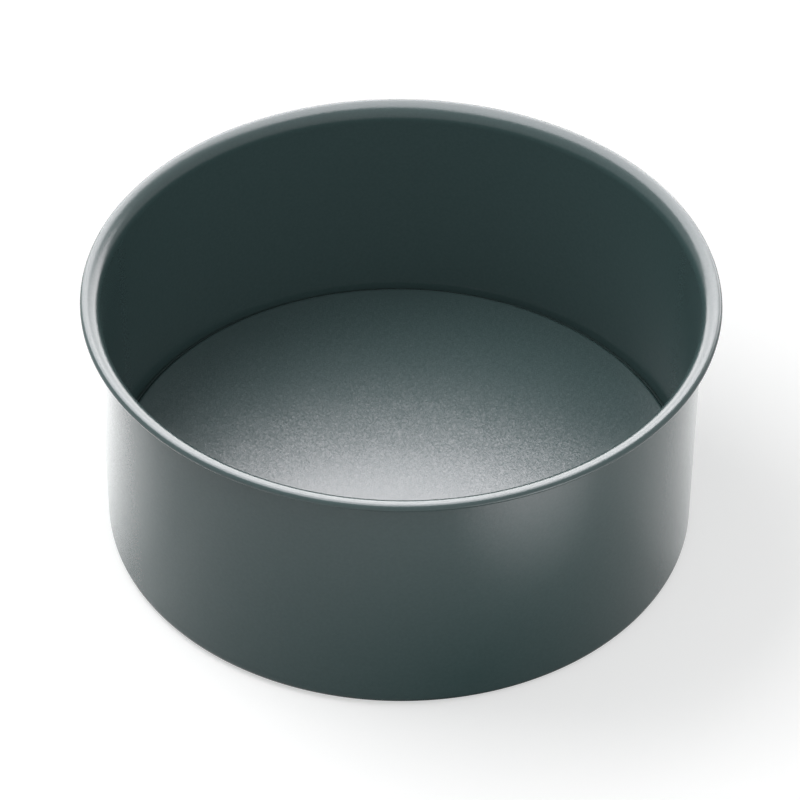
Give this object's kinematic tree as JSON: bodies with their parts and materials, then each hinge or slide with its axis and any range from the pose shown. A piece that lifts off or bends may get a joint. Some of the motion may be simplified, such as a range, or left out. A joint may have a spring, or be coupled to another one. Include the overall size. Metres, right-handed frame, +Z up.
{
  "type": "round loose base cake pan",
  "caption": "Deep round cake pan in dark coated steel with a rolled rim, turned-in foot and a sealed base that pushes up out of the wall.",
  "frame": {"origin": "centre of the foot ring, on the surface the pan stands on", "axes": "+Z up along the pan's axis; X and Y level, the pan being round"},
  "size_m": [0.2138, 0.2138, 0.0945],
  "materials": {
    "wall_coating": "semi-gloss non-stick coating with fine metallic flake on steel sheet",
    "base_coating": "semi-gloss non-stick coating with fine metallic flake on steel sheet",
    "silicone": "satin dark silicone"
  },
  "bodies": {
    "pan": {"pan_wall": "wall_coating"},
    "base": {"loose_base": "base_coating", "base_seal": "silicone"}
  },
  "joints": [
    {"name": "base_lift", "type": "slide", "parent": "pan", "child": "base", "axis": [0, 0, 1], "range_m": [0, 0.11]}
  ]
}
